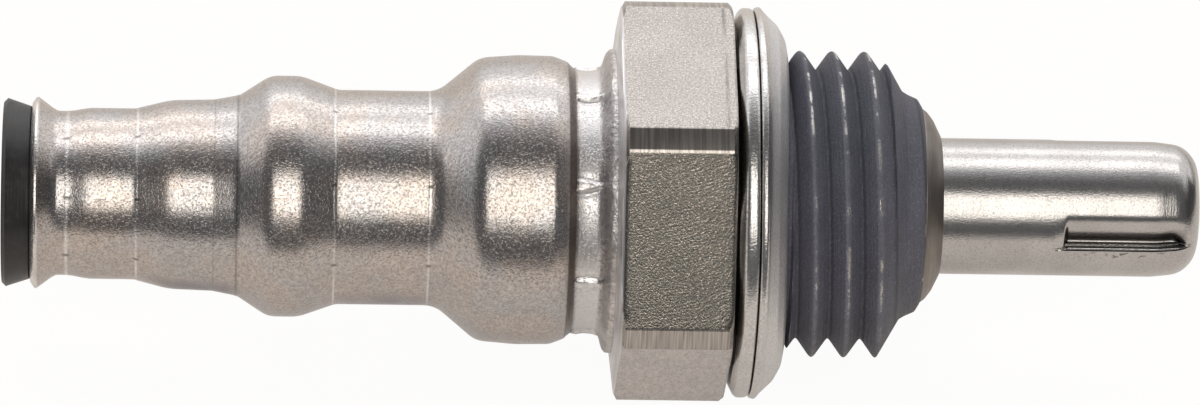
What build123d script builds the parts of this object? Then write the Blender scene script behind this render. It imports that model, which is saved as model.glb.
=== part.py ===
from build123d import *
import os
from math import atan2, degrees, radians, tan

# Heated exhaust gas oxygen sensor with a flat ceramic element, M12 thread and 14 mm hexagon.
#
# Frame: millimetres, X is the sensor's axis and +X points at the sensing tip. The origin is on the
# axis at the hexagon's sealing face. One flat of the hexagon faces down. A station is a place along
# X, and a turned profile is drawn as (station, radius) and revolved about X.

# ---- shell: one turned piece with hexagon, thread, rear boss and rolled nose
HEX_FLATS = 14.0            # across flats
HEX_LENGTH = 4.3
HEX_TURNED_D = 15.7         # corners turned down to this
HEX_CHAMFER = 0.15          # along X, on the turned corners
HEX_REAR_SLOPE = 0.2        # the rear face is a cone that falls back this far
REAR_FACE_MARGIN = 0.08     # flat part of the rear face, round the sleeve's flange
BOSS_LENGTH = 3.1           # behind the rear face, carries the sleeve
BOSS_GROOVE_DEPTH = 0.5     # takes the sleeve's crimp
BOSS_CHAMFER = 0.3
SWAGE_LENGTH = 0.9          # thin rear wall, rolled in over the packing ring
SWAGE_WALL = 0.95
SWAGE_LIP = 0.5             # thickness of the rolled-in lip
SWAGE_BEND = 0.7            # how far the lip's outside is rounded, both ways
SWAGE_LEAN = 0.2            # the bend starts this steeply off the lip's flat rear
SWAGE_GAP = 0.2             # between the lip and the rear insulator
RELIEF_DEPTH = 0.65         # thread relief under the gasket, on the radius
THREAD_D = 11.9             # over the crests of M12 x 1.25
THREAD_RUN_IN = 0.35
THREAD_LENGTH = 3.55
NOSE_CONE = 0.9             # 60 degree cone ahead of the thread, along X
NOSE_NECK = 0.6             # gentler cone ahead of that
NOSE_LIP = 0.94             # rolled over the protection tube's flange
NOSE_CONE_END_D = 8.84
NOSE_NECK_END_D = 8.16
NOSE_EDGE = 0.25            # chamfer of the lip, along X, next to the tube

# ---- gasket: one sheet ring, folded into two lobes
GASKET_THICKNESS = 2.17
GASKET_SHEET = 0.3
GASKET_INNER_D = 11.5       # smaller than the thread, so that the ring is captive
GASKET_REAR_LOBE_D = 15.06
GASKET_FRONT_LOBE_D = 15.24
GASKET_FRONT_BEND = 0.13    # radius of the sheet's middle
GASKET_REAR_SHARE = 0.38    # of the thickness, where the rear lobe's sheet comes down
GASKET_FRONT_SHARE = 0.54   # and where the front lobe's sheet goes up again
GASKET_CROWN = 1.8          # width of the front lobe's crown, in bend radii

# ---- protection tube: drawn sheet cup with pressed louvres
TUBE_D = 5.27
TUBE_WALL = 0.3
TUBE_PROUD = 10.06          # from the shell's nose to the tip
TUBE_END_RADIUS = 1.3
TUBE_FLANGE_D = 6.7
TUBE_FLANGE_BEND = 0.3
LOUVRE_COUNT = 3
LOUVRE_LENGTH = 5.1
LOUVRE_SETBACK = 0.6        # from the tip
LOUVRE_DEPTH = 0.75         # of the pressed-in edge, below the tube's surface
LOUVRE_REACH = 1.38         # from the slit round to the hinge side
LOUVRE_ROUND = 0.5          # from the blunt rear end to the deepest place
LOUVRE_ROUND_RADIUS = 1.1
LOUVRE_SLIT_ANGLE = 5.0     # slit of the first louvre, up from -Y

# ---- rear sleeve: drawn sheet, stepped, crimped on the boss and on the grommet
SLEEVE_WALL = 0.4
SLEEVE_FLANGE_RISE = 0.87   # stands out from the crimp, against the hexagon's rear face
SKIRT_D = 11.0
SKIRT_LENGTH = 5.08         # from the flange's face to the shoulder
CRIMP_LENGTH = 0.7          # pressed into the boss's groove, behind the flange
CRIMP_RAMP = 1.05           # from there up to the skirt
SHOULDER_LENGTH = 1.7
NECK_CLEARANCE = 0.07       # between the neck's inside and the holder's ring
BULGE_D = 9.3
BULGE_RISE = 1.45
BULGE_LENGTH = 1.15
BULGE_FALL = 1.1
REAR_FRONT_D = 7.66         # the rear tube tapers from here
REAR_BACK_D = 7.26          # to here
REAR_LENGTH = 2.95
GRIP_STEP = 0.95
GRIP_D = 6.6                # crimped down on the grommet
GRIP_LENGTH = 2.2
GRIP_GROOVE_DEPTH = 0.1
GRIP_GROOVE_LENGTH = 0.85
GRIP_GROOVE_STEP = 0.15
FLARE_LENGTH = 0.92
FLARE_D = 7.44
CRIMP_JAWS = 8
CRIMP_FIRST_JOINT = 3.5     # joint between two jaws, up from -Y
CRIMP_JOINT_WIDTH = 5.0     # degrees
CRIMP_JOINT_HEIGHT = 0.16

# ---- grommet and leads
GROMMET_PROUD = 1.25
GROMMET_END_D = 7.28
GROMMET_CHAMFER = 0.15
LEAD_COUNT = 4
LEAD_D = 1.5
LEAD_CIRCLE_D = 3.0

# ---- sensor element and its packing, from the tip side to the rear
ELEMENT_WIDTH = 2.4
ELEMENT_THICKNESS = 1.0
ELEMENT_TIP_GAP = 1.2       # to the inside of the tube's end
ELEMENT_CORNER = 0.15
PACKING_BORE_D = 6.8
PACKING_SEAT = 3.9          # station of the shoulder that the packing sits on
CUP_SHEET = 0.3
CUP_DEPTH = 4.5
CUP_HOLE = 0.3              # round the element's edges, through the cup's floor
FRONT_INSULATOR_LENGTH = 2.9
REAR_TALC_LENGTH = 2.0
PACKING_RING_LENGTH = 0.5
REAR_INSULATOR_D = 5.2      # thin rear part, inside the packing ring
REAR_INSULATOR_PROUD = 0.4  # behind the shell
INSULATOR_CHAMFER = 0.2

# ---- contacts and what holds them
HOLDER_D = 6.8
HOLDER_LENGTH = 5.43
HOLDER_GAP = 0.3            # behind the rear insulator
HOLDER_WALL = 0.4           # front and rear walls of the contact pocket
HOLDER_RIB = 0.3            # between two contacts
POCKET_ROOM = 0.25          # above a contact's back
RING_SHEET = 0.25
RING_LENGTH = 2.3
SPRING_SHEET = 0.2
SPRING_HEIGHT = 0.3
SPRING_MARGIN = 0.2         # inside its edges, to the lip's hole
SPRING_RIM = 0.1            # and to the edge of the ring that it presses on
CONTACT_SHEET = 0.2
CONTACT_WIDTH = 0.7
CONTACT_PITCH = 1.5         # between the two contacts on one face
CONTACT_BACK_HEIGHT = 1.5   # of the leaf's back above the element's middle
CONTACT_LOOP = 0.6          # height of the leaf's loop
CONTACT_BEND = 0.28         # radius of the sheet's middle in the loop
CONTACT_PRESS_BEND = 0.4    # and where it touches the element
CONTACT_TAIL = 0.8          # of the leaf, behind the place where it touches
CONTACT_TAIL_RISE = 0.3
CONTACT_END_GAP = 0.3       # from the loop to the pocket's front wall
CONTACT_TOUCH = 0.02        # left between leaf and element
BARREL_D = 1.2
BARREL_BORE = 0.84
BARREL_LENGTH = 2.2
BARREL_LAP = 0.45           # the leaf's back over the barrel
BARREL_SET_BACK = 0.8       # behind the lead insulator's front
INSULATOR_GAP = 0.2         # between holder, lead insulator and grommet
INSULATOR_FIT = 0.1         # radial, in the sleeve
INSULATOR_NECK = 0.4        # of the lead insulator, ahead of its flange

# ---- clearances
FIT = 0.03                  # radial, between pieces that are pressed or crimped together
SLOT_FIT = 0.05             # round the element and the contacts

# ---- stations and radii that follow
rear_face = -HEX_LENGTH - HEX_REAR_SLOPE
boss_rear = rear_face - BOSS_LENGTH
shell_rear = boss_rear - SWAGE_LENGTH
thread_start = GASKET_THICKNESS + FIT
thread_end = thread_start + THREAD_LENGTH
cone_end = thread_end + NOSE_CONE
neck_end = cone_end + NOSE_NECK
nose = neck_end + NOSE_LIP
tip = nose + TUBE_PROUD

thread_r = THREAD_D / 2
relief_r = thread_r - RELIEF_DEPTH
tube_r = TUBE_D / 2
flange_front = cone_end     # the lip takes hold ahead of the cone
flange_rear = flange_front - TUBE_WALL
skirt_r = SKIRT_D / 2
boss_r = skirt_r - SLEEVE_WALL - FIT
groove_r = boss_r - BOSS_GROOVE_DEPTH
# the sheet's inner corners lie further back than its outer ones, by the wall and half the turn
ramp_angle = degrees(atan2(BOSS_GROOVE_DEPTH, CRIMP_RAMP))
ramp_shift = (SLEEVE_WALL + FIT) * tan(radians(ramp_angle / 2))
skirt_crimp_r = skirt_r - BOSS_GROOVE_DEPTH
sleeve_flange_r = skirt_crimp_r + SLEEVE_FLANGE_RISE
holder_ring_r = HOLDER_D / 2 + FIT + RING_SHEET
neck_r = holder_ring_r + NECK_CLEARANCE + SLEEVE_WALL
packing_r = PACKING_BORE_D / 2
front_bore_r = tube_r - TUBE_WALL

flange_back = rear_face - SLEEVE_WALL
crimp_rear = flange_back - CRIMP_LENGTH
ramp_rear = crimp_rear - CRIMP_RAMP
skirt_rear = rear_face - SKIRT_LENGTH
neck_front = skirt_rear - SHOULDER_LENGTH
# the bulge is formed round the lead insulator, whose place follows from what lies ahead of it
rear_insulator_rear = shell_rear - REAR_INSULATOR_PROUD
holder_front = rear_insulator_rear - HOLDER_GAP
holder_rear = holder_front - HOLDER_LENGTH
lead_insulator_front = holder_rear - INSULATOR_GAP
neck_rear = lead_insulator_front - INSULATOR_NECK
bulge_front = neck_rear - BULGE_RISE
bulge_rear = bulge_front - BULGE_LENGTH
rear_front = bulge_rear - BULGE_FALL
rear_back = rear_front - REAR_LENGTH
grip_front = rear_back - GRIP_STEP
grip_rear = grip_front - GRIP_LENGTH
flare_front = grip_rear - GRIP_GROOVE_LENGTH
sleeve_rear = flare_front - FLARE_LENGTH
grommet_rear = sleeve_rear - GROMMET_PROUD

cup_rear = PACKING_SEAT - CUP_DEPTH
front_insulator_front = PACKING_SEAT - CUP_SHEET
front_insulator_rear = front_insulator_front - FRONT_INSULATOR_LENGTH
rear_talc_rear = cup_rear - REAR_TALC_LENGTH
ring_rear = shell_rear + SWAGE_LIP
ring_front = ring_rear + PACKING_RING_LENGTH
cup_r = packing_r - FIT
cup_inner_r = cup_r - CUP_SHEET
cup_hole_r = ELEMENT_WIDTH / 2 + CUP_HOLE
element_front = tip - TUBE_WALL - ELEMENT_TIP_GAP
spring_rear = shell_rear - SPRING_HEIGHT
pocket_front = holder_front - HOLDER_WALL
pocket_rear = holder_rear + HOLDER_WALL
element_rear = pocket_rear + HOLDER_WALL
barrel_front = lead_insulator_front - BARREL_SET_BACK

os.makedirs("parts", exist_ok=True)


# ---------------------------------------------------------------- helpers
def ring_section(start, end, inner_r, outer_r):
    """Half section of a plain ring between two stations, for the sketch in hand."""
    with Locations(((start + end) / 2, (inner_r + outer_r) / 2)):
        Rectangle(abs(end - start), outer_r - inner_r)


def element_slot():
    """Section of the slot that the sensor element passes through, for the sketch in hand."""
    Rectangle(ELEMENT_WIDTH + 2 * SLOT_FIT, ELEMENT_THICKNESS + 2 * SLOT_FIT)


def finish(part, name):
    """Name a finished piece and write its STEP file."""
    part.label = name
    export_step(part, f"parts/{name}.step")


# ---------------------------------------------------------------- shell
# A hexagon bar, turned all over: first the hexagon's own ends and corners, then the rest.
with BuildPart() as sensor_shell:
    with BuildSketch(Plane.YZ.offset(rear_face)):
        RegularPolygon(HEX_FLATS / 2, 6, major_radius=False)
    extrude(amount=-rear_face)
    turned_r = HEX_TURNED_D / 2
    chamfered_r = turned_r - 2 * HEX_CHAMFER
    with BuildSketch():
        with BuildLine():
            Polyline(
                (rear_face, 0),
                (rear_face, sleeve_flange_r + REAR_FACE_MARGIN),
                (-HEX_LENGTH, chamfered_r),
                (-HEX_LENGTH + HEX_CHAMFER, turned_r),
                (-HEX_CHAMFER, turned_r),
                (0, chamfered_r),
                (0, 0),
                close=True,
            )
        make_face()
    revolve(axis=Axis.X, mode=Mode.INTERSECT)

    swage_r = packing_r + SWAGE_WALL
    lip_inner_r = REAR_INSULATOR_D / 2 + SWAGE_GAP
    lip_top = Vector(nose - NOSE_EDGE, tube_r + NOSE_EDGE)
    with BuildSketch():
        with BuildLine():
            # rear end: rolled lip, thin wall, boss with the groove for the sleeve's crimp
            rear = Line((shell_rear, 0), (shell_rear, swage_r - SWAGE_BEND))
            bend_end = (shell_rear + SWAGE_BEND, swage_r)
            rolled = TangentArc(rear @ 1, bend_end, tangent=(-SWAGE_LEAN, 1))
            Polyline(
                rolled @ 1,
                (boss_rear, swage_r),
                (boss_rear, boss_r - BOSS_CHAMFER),
                (boss_rear + BOSS_CHAMFER, boss_r),
                (ramp_rear - ramp_shift, boss_r),
                (crimp_rear - ramp_shift, groove_r),
                (-HEX_LENGTH / 2, groove_r),
                (-HEX_LENGTH / 2, relief_r),
                (thread_start, relief_r),
                (thread_start + THREAD_RUN_IN, thread_r),
                (thread_end, thread_r),
                (cone_end, NOSE_CONE_END_D / 2),
                (neck_end, NOSE_NECK_END_D / 2),
                lip_top,
            )
            Polyline(lip_top, (nose, tube_r + FIT), (nose, 0), (shell_rear, 0))
        make_face()
    revolve(axis=Axis.X)

    # stepped bore: lip, packing, front bore, flange recess, and the lip over the flange
    recess_r = TUBE_FLANGE_D / 2 + FIT
    with BuildSketch():
        ring_section(shell_rear, ring_rear, 0, lip_inner_r)
        ring_section(ring_rear, PACKING_SEAT, 0, packing_r)
        ring_section(PACKING_SEAT, flange_rear, 0, front_bore_r)
        ring_section(flange_rear, flange_front, 0, recess_r)
        with BuildLine():
            Polyline(
                (flange_front, 0),
                (flange_front, tube_r + FIT + TUBE_FLANGE_BEND),
                (flange_front + TUBE_FLANGE_BEND, tube_r + FIT),
                (nose, tube_r + FIT),
                (nose, 0),
                close=True,
            )
        make_face()
    revolve(axis=Axis.X, mode=Mode.SUBTRACT)
finish(sensor_shell.part, "sensor_shell")

# ---------------------------------------------------------------- gasket
# One strip of sheet, folded twice over: up the rear lobe, down, round the inside, up the front
# lobe, and down a long slope that ends at the inside again.
half_sheet = GASKET_SHEET / 2
with BuildPart() as sealing_gasket:
    with BuildSketch():
        with BuildLine():
            inner_r = GASKET_INNER_D / 2 + half_sheet
            rear_x = half_sheet
            fold_x = GASKET_THICKNESS * GASKET_REAR_SHARE
            front_x = GASKET_THICKNESS * GASKET_FRONT_SHARE
            rear_bend = (fold_x - rear_x) / 2
            rear_top = GASKET_REAR_LOBE_D / 2 - half_sheet - rear_bend
            inner_bend = (front_x - fold_x) / 2
            front_top = GASKET_FRONT_LOBE_D / 2 - half_sheet - GASKET_FRONT_BEND
            front_end = (GASKET_THICKNESS - half_sheet, inner_r)
            up = Line((rear_x, inner_r), (rear_x, rear_top))
            crown = TangentArc(up @ 1, (fold_x, rear_top), tangent=up % 1)
            down = Line(crown @ 1, (fold_x, inner_r + inner_bend))
            turn = TangentArc(down @ 1, (front_x, inner_r + inner_bend), tangent=down % 1)
            up_again = Line(turn @ 1, (front_x, front_top))
            crown_end = (front_x + GASKET_CROWN * GASKET_FRONT_BEND, front_top)
            bend = TangentArc(up_again @ 1, crown_end, tangent=up_again % 1)
            TangentArc(front_end, bend @ 1, tangent=(-0.12, 1))
            offset(amount=half_sheet)
        make_face()
    revolve(axis=Axis.X)
finish(sealing_gasket.part, "sealing_gasket")


# ---------------------------------------------------------------- protection tube
# A louvre is pressed in from outside with a long lens-shaped tool. The tool is half a spindle,
# turned about a line outside the tube, so its edge is deep at the slit and runs out at the hinge
# side and at both ends.
spindle_r = (LOUVRE_REACH**2 + LOUVRE_DEPTH**2) / (2 * LOUVRE_DEPTH)
spindle_axis = tube_r + spindle_r - LOUVRE_DEPTH
louvre_front = tip - LOUVRE_SETBACK
louvre_rear = louvre_front - LOUVRE_LENGTH


def louvre_tool(growth):
    """Press tool above the tube, on the +Y side of the slit, grown on all sides by a thickness."""
    edge_r = spindle_axis - tube_r + growth
    with BuildPart() as tool:
        with BuildSketch(Plane.XZ):
            with BuildLine():
                FilletPolyline(
                    (louvre_rear - growth, spindle_axis - edge_r),
                    (louvre_rear + LOUVRE_ROUND, spindle_axis - spindle_r - growth),
                    (louvre_front + growth, spindle_axis - edge_r),
                    radius=LOUVRE_ROUND_RADIUS,
                )
                Polyline(
                    (louvre_front + growth, spindle_axis - edge_r),
                    (louvre_front + growth, spindle_axis),
                    (louvre_rear - growth, spindle_axis),
                    (louvre_rear - growth, spindle_axis - edge_r),
                )
            make_face()
        revolve(axis=Axis((0, 0, spindle_axis), (1, 0, 0)), revolution_arc=180)
    return tool.part


def tube_outline():
    """Outer line of the tube from its flange to the middle of its end, for the line in hand."""
    FilletPolyline(
        (flange_front, TUBE_FLANGE_D / 2),
        (flange_front, tube_r),
        (tip, tube_r),
        (tip, 0),
        radius=[TUBE_FLANGE_BEND, TUBE_END_RADIUS],
    )


with BuildPart() as louvre:
    add(louvre_tool(TUBE_WALL))
    add(louvre_tool(0), mode=Mode.SUBTRACT)
    with BuildSketch():
        with BuildLine():
            tube_outline()
            Polyline((tip, 0), (flange_front, 0), (flange_front, TUBE_FLANGE_D / 2))
        make_face()
    revolve(axis=Axis.X, mode=Mode.INTERSECT)

with BuildPart() as protection_tube:
    with BuildSketch():
        with BuildLine():
            tube_outline()
            offset(amount=TUBE_WALL, side=Side.RIGHT)
        make_face()
    revolve(axis=Axis.X)
    slit_turns = [90 - LOUVRE_SLIT_ANGLE + n * 360 / LOUVRE_COUNT for n in range(LOUVRE_COUNT)]
    with Locations(*[Location((0, 0, 0), (turn, 0, 0)) for turn in slit_turns]):
        add(louvre_tool(0), mode=Mode.SUBTRACT)
        add(louvre.part)
finish(protection_tube.part, "protection_tube")


# ---------------------------------------------------------------- rear sleeve
grip_r = GRIP_D / 2
grip_groove_r = grip_r - GRIP_GROOVE_DEPTH

# corners of the sleeve's outer line from the flange to the rear end, each with its bend radius
skirt_corners = [
    ((flange_back, sleeve_flange_r), 0),
    ((flange_back, skirt_crimp_r), 0.25),
    ((crimp_rear, skirt_crimp_r), 0.4),
    ((ramp_rear, skirt_r), 0.9),
    ((skirt_rear, skirt_r), 0.9),
    ((neck_front, neck_r), 0.9),
]
bulge_corners = [
    ((neck_rear, neck_r), 0.9),
    ((bulge_front, BULGE_D / 2), 1.2),
    ((bulge_rear, BULGE_D / 2), 0.5),
]
rear_corners = [
    ((rear_front, REAR_FRONT_D / 2), 0.4),
    ((rear_back, REAR_BACK_D / 2), 0.6),
    ((grip_front, grip_r), 0.6),
    ((grip_rear, grip_r), 0.1),
    ((grip_rear - GRIP_GROOVE_STEP, grip_groove_r), 0.1),
    ((flare_front, grip_groove_r), 0.5),
    ((sleeve_rear, FLARE_D / 2), 0),
]


def bent_line(corners):
    """Line through the corners, with the inner ones rounded, for the line in hand."""
    places = [place for place, bend in corners]
    bends = [bend for place, bend in corners]
    return FilletPolyline(*places, radius=bends[1:-1])


with BuildPart() as outer_sleeve:
    with BuildSketch():
        with BuildLine():
            bent_line(skirt_corners + bulge_corners + rear_corners)
            offset(amount=SLEEVE_WALL, side=Side.LEFT)
        make_face()
    revolve(axis=Axis.X)
    # sheet squeezed up between the crimping jaws
    joint_r = skirt_crimp_r + CRIMP_JOINT_HEIGHT
    half_ramp = (crimp_rear + ramp_rear) / 2
    with BuildSketch() as joint:
        with BuildLine():
            Polyline(
                (flange_back, joint_r),
                (half_ramp, joint_r + BOSS_GROOVE_DEPTH / 2),
                (half_ramp, joint_r),
                (crimp_rear, joint_r - SLEEVE_WALL / 2),
                (flange_back, joint_r - SLEEVE_WALL / 2),
                close=True,
            )
        make_face()
    for jaw in range(CRIMP_JAWS):
        turn = CRIMP_FIRST_JOINT - CRIMP_JOINT_WIDTH / 2 + jaw * 360 / CRIMP_JAWS
        revolve(Rot(X=turn) * joint.sketch, axis=Axis.X, revolution_arc=CRIMP_JOINT_WIDTH)
finish(outer_sleeve.part, "outer_sleeve")


# ---------------------------------------------------------------- grommet
# The rubber fills the rear of the sleeve, follows its crimped inside, and stands out behind it.
with BuildPart() as lead_grommet:
    with BuildSketch():
        with BuildLine():
            bent_line(rear_corners)
            offset(amount=SLEEVE_WALL + FIT, side=Side.LEFT, closed=False)
            mouth, front = vertices().sort_by(Axis.X)[0], vertices().sort_by(Axis.X)[-1]
            Polyline(
                (mouth.X, mouth.Y),
                (grommet_rear + GROMMET_CHAMFER, GROMMET_END_D / 2),
                (grommet_rear, GROMMET_END_D / 2 - GROMMET_CHAMFER),
                (grommet_rear, 0),
                (front.X, 0),
                (front.X, front.Y),
            )
        make_face()
    revolve(axis=Axis.X)
    with BuildSketch(Plane.YZ.offset(grommet_rear)):
        with PolarLocations(LEAD_CIRCLE_D / 2, LEAD_COUNT, start_angle=180 / LEAD_COUNT):
            Circle(LEAD_D / 2)
    extrude(amount=rear_front - grommet_rear, mode=Mode.SUBTRACT)
finish(lead_grommet.part, "lead_grommet")


# ---------------------------------------------------------------- sensor element and its packing
with BuildPart() as sensor_element:
    with BuildSketch(Plane.YZ.offset(element_rear)):
        Rectangle(ELEMENT_WIDTH, ELEMENT_THICKNESS)
    extrude(amount=element_front - element_rear)
    tip_edges = edges().group_by(Axis.X)[-1]
    chamfer(tip_edges, ELEMENT_CORNER)
finish(sensor_element.part, "sensor_element")

# sheet cup that holds the front insulator and the front talc against the shell's shoulder
with BuildPart() as packing_cup:
    with BuildSketch():
        with BuildLine():
            FilletPolyline(
                (cup_rear, cup_r),
                (PACKING_SEAT, cup_r),
                (PACKING_SEAT, cup_hole_r),
                radius=1.3 * CUP_SHEET,
            )
            offset(amount=CUP_SHEET, side=Side.RIGHT)
        make_face()
    revolve(axis=Axis.X)
finish(packing_cup.part, "packing_cup")

with BuildPart() as front_insulator:
    with BuildSketch():
        ring_section(front_insulator_rear, front_insulator_front, 0, cup_inner_r - FIT)
    revolve(axis=Axis.X)
    chamfer(edges().group_by(Axis.X)[-1], INSULATOR_CHAMFER)
    with BuildSketch(Plane.YZ.offset(front_insulator_rear)):
        element_slot()
    extrude(amount=FRONT_INSULATOR_LENGTH, mode=Mode.SUBTRACT)
finish(front_insulator.part, "front_insulator")

with BuildPart() as front_talc:
    with BuildSketch(Plane.YZ.offset(cup_rear)):
        Circle(cup_inner_r - FIT)
        Rectangle(ELEMENT_WIDTH + 2 * FIT, ELEMENT_THICKNESS + 2 * FIT, mode=Mode.SUBTRACT)
    extrude(amount=front_insulator_rear - cup_rear)
finish(front_talc.part, "front_talc")

with BuildPart() as rear_talc:
    with BuildSketch(Plane.YZ.offset(rear_talc_rear)):
        Circle(packing_r - FIT)
        Rectangle(ELEMENT_WIDTH + 2 * FIT, ELEMENT_THICKNESS + 2 * FIT, mode=Mode.SUBTRACT)
    extrude(amount=REAR_TALC_LENGTH)
finish(rear_talc.part, "rear_talc")

with BuildPart() as rear_insulator:
    with BuildSketch():
        ring_section(ring_front, rear_talc_rear, 0, packing_r - FIT)
        ring_section(rear_insulator_rear, ring_front, 0, REAR_INSULATOR_D / 2)
    revolve(axis=Axis.X)
    chamfer(edges().group_by(Axis.X)[0], INSULATOR_CHAMFER)
    with BuildSketch(Plane.YZ.offset(rear_insulator_rear)):
        element_slot()
    extrude(amount=rear_talc_rear - rear_insulator_rear, mode=Mode.SUBTRACT)
finish(rear_insulator.part, "rear_insulator")

with BuildPart() as packing_ring:
    with BuildSketch():
        ring_section(ring_rear, ring_front, REAR_INSULATOR_D / 2 + FIT, packing_r - FIT)
    revolve(axis=Axis.X)
finish(packing_ring.part, "packing_ring")


# ---------------------------------------------------------------- contact holder
# Two ceramic half shells close on the element. Each has a pocket for the two contacts of its side.
half_gap = FIT
pocket_height = CONTACT_BACK_HEIGHT + CONTACT_SHEET / 2 + POCKET_ROOM
contact_y = CONTACT_PITCH / 2
contact_slot = CONTACT_WIDTH + 2 * SLOT_FIT
pocket_width = CONTACT_PITCH + contact_slot

with BuildPart() as upper_contact_holder:
    with BuildSketch(Plane.YZ.offset(holder_rear)):
        Circle(HOLDER_D / 2)
        with Locations((0, half_gap - HOLDER_D / 2)):
            Rectangle(HOLDER_D, HOLDER_D, mode=Mode.SUBTRACT)
    extrude(amount=HOLDER_LENGTH)
    # pocket, with a rib that keeps the two contacts apart
    with BuildSketch(Plane.YZ.offset(pocket_rear)):
        with Locations((0, pocket_height / 2)):
            Rectangle(max(pocket_width, ELEMENT_WIDTH + 2 * SLOT_FIT), pocket_height)
            Rectangle(HOLDER_RIB, pocket_height, mode=Mode.SUBTRACT)
        element_slot()
    extrude(amount=pocket_front - pocket_rear, mode=Mode.SUBTRACT)
    with BuildSketch(Plane.YZ.offset(pocket_front)):
        element_slot()
    extrude(amount=HOLDER_WALL, mode=Mode.SUBTRACT)
    with BuildSketch(Plane.YZ.offset(holder_rear)):
        with Locations((-contact_y, CONTACT_BACK_HEIGHT), (contact_y, CONTACT_BACK_HEIGHT)):
            Rectangle(contact_slot, CONTACT_SHEET + 4 * SLOT_FIT)
    extrude(amount=HOLDER_WALL, mode=Mode.SUBTRACT)
finish(upper_contact_holder.part, "upper_contact_holder")

with BuildPart() as lower_contact_holder:
    mirror(upper_contact_holder.part, about=Plane.XY)
finish(lower_contact_holder.part, "lower_contact_holder")

# sheet ring that keeps the halves together, and a cone spring that presses it back
ring_flange_r = boss_r - 2 * FIT
with BuildPart() as holder_ring:
    with BuildSketch():
        with BuildLine():
            FilletPolyline(
                (spring_rear - RING_SHEET, ring_flange_r),
                (spring_rear - RING_SHEET, holder_ring_r),
                (spring_rear - RING_LENGTH, holder_ring_r),
                radius=RING_SHEET / 2,
            )
            offset(amount=RING_SHEET, side=Side.LEFT)
        make_face()
    revolve(axis=Axis.X)
finish(holder_ring.part, "holder_ring")

with BuildPart() as cone_spring:
    spring_inner_r = lip_inner_r + SPRING_MARGIN
    spring_outer_r = ring_flange_r - SPRING_RIM
    with BuildSketch():
        with BuildLine():
            Polyline(
                (shell_rear, spring_inner_r),
                (shell_rear - SPRING_SHEET, spring_inner_r),
                (spring_rear, spring_outer_r),
                (spring_rear + SPRING_SHEET, spring_outer_r),
                close=True,
            )
        make_face()
    revolve(axis=Axis.X)
finish(cone_spring.part, "cone_spring")


# ---------------------------------------------------------------- contacts
# Spring leaf, bent back on itself so that its loop presses on the element, with a crimp barrel
# for the lead behind it.
barrel_place = LEAD_CIRCLE_D / 2 / 2**0.5
press_height = ELEMENT_THICKNESS / 2 + CONTACT_SHEET / 2 + CONTACT_TOUCH
loop_x = pocket_front - CONTACT_END_GAP
loop_height = CONTACT_BACK_HEIGHT - CONTACT_LOOP
press_x = (pocket_front + element_rear) / 2

with BuildPart() as contact:
    with BuildSketch(Plane.XZ.offset(-contact_y)):
        with BuildLine():
            FilletPolyline(
                (barrel_front - BARREL_LAP + CONTACT_SHEET, CONTACT_BACK_HEIGHT),
                (loop_x, CONTACT_BACK_HEIGHT),
                (loop_x, loop_height),
                (press_x, press_height),
                (press_x - CONTACT_TAIL, press_height + CONTACT_TAIL_RISE),
                radius=[CONTACT_BEND, CONTACT_BEND, CONTACT_PRESS_BEND],
            )
            offset(amount=CONTACT_SHEET / 2)
        make_face()
    extrude(amount=CONTACT_WIDTH / 2, both=True)
    with BuildSketch(Plane.YZ.offset(barrel_front)):
        with Locations((barrel_place, barrel_place)):
            Circle(BARREL_D / 2)
            Circle(BARREL_BORE / 2, mode=Mode.SUBTRACT)
    extrude(amount=-BARREL_LENGTH)

# the four contacts are mirror images of one another
sides = {
    "signal_contact_a": [],
    "signal_contact_b": [Plane.XZ],
    "heater_contact_a": [Plane.XY],
    "heater_contact_b": [Plane.XZ, Plane.XY],
}
for name, mirrors in sides.items():
    copy = contact.part
    for plane in mirrors:
        copy = mirror(copy, about=plane)
    finish(copy, name)


# ---------------------------------------------------------------- lead insulator
# Ceramic bush with a flange that sits in the sleeve's bulge. Each contact's barrel has a hole.
with BuildPart() as lead_insulator:
    with BuildSketch():
        with BuildLine():
            front = ((lead_insulator_front, neck_r), 0)
            rear = ((rear_front, REAR_FRONT_D / 2), 0)
            bent_line([front] + bulge_corners + [rear])
            offset(amount=SLEEVE_WALL + INSULATOR_FIT, side=Side.LEFT, closed=False)
            rear_end, front_end = vertices().sort_by(Axis.X)[0], vertices().sort_by(Axis.X)[-1]
            Polyline(
                (rear_end.X, rear_end.Y),
                (rear_end.X, 0),
                (lead_insulator_front, 0),
                (front_end.X, front_end.Y),
            )
        make_face()
    revolve(axis=Axis.X)
    with BuildSketch(Plane.YZ.offset(lead_insulator_front)):
        with PolarLocations(LEAD_CIRCLE_D / 2, LEAD_COUNT, start_angle=180 / LEAD_COUNT):
            Circle(BARREL_D / 2 + SLOT_FIT)
    extrude(amount=rear_front - lead_insulator_front, mode=Mode.SUBTRACT)
    # key slots for the contacts' backs
    with BuildSketch(Plane.YZ.offset(lead_insulator_front)):
        with GridLocations(CONTACT_PITCH, 2 * CONTACT_BACK_HEIGHT, 2, 2):
            Rectangle(contact_slot, CONTACT_SHEET + 4 * SLOT_FIT)
    extrude(amount=barrel_front - lead_insulator_front - BARREL_LAP, mode=Mode.SUBTRACT)
finish(lead_insulator.part, "lead_insulator")
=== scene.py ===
# %% [markdown]
# # A screw-in oxygen sensor
# The sensor lies on its side. Its CAD model is the frame: millimetres along the axis, called
# stations here, with zero at the hexagon's sealing face and the sensing tip at the positive end.
# The frame is loaded first, and its box is kept, because nothing made here may be larger.

import math

import bmesh
import bpy
import numpy as np
from mathutils import Matrix, Vector


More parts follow.
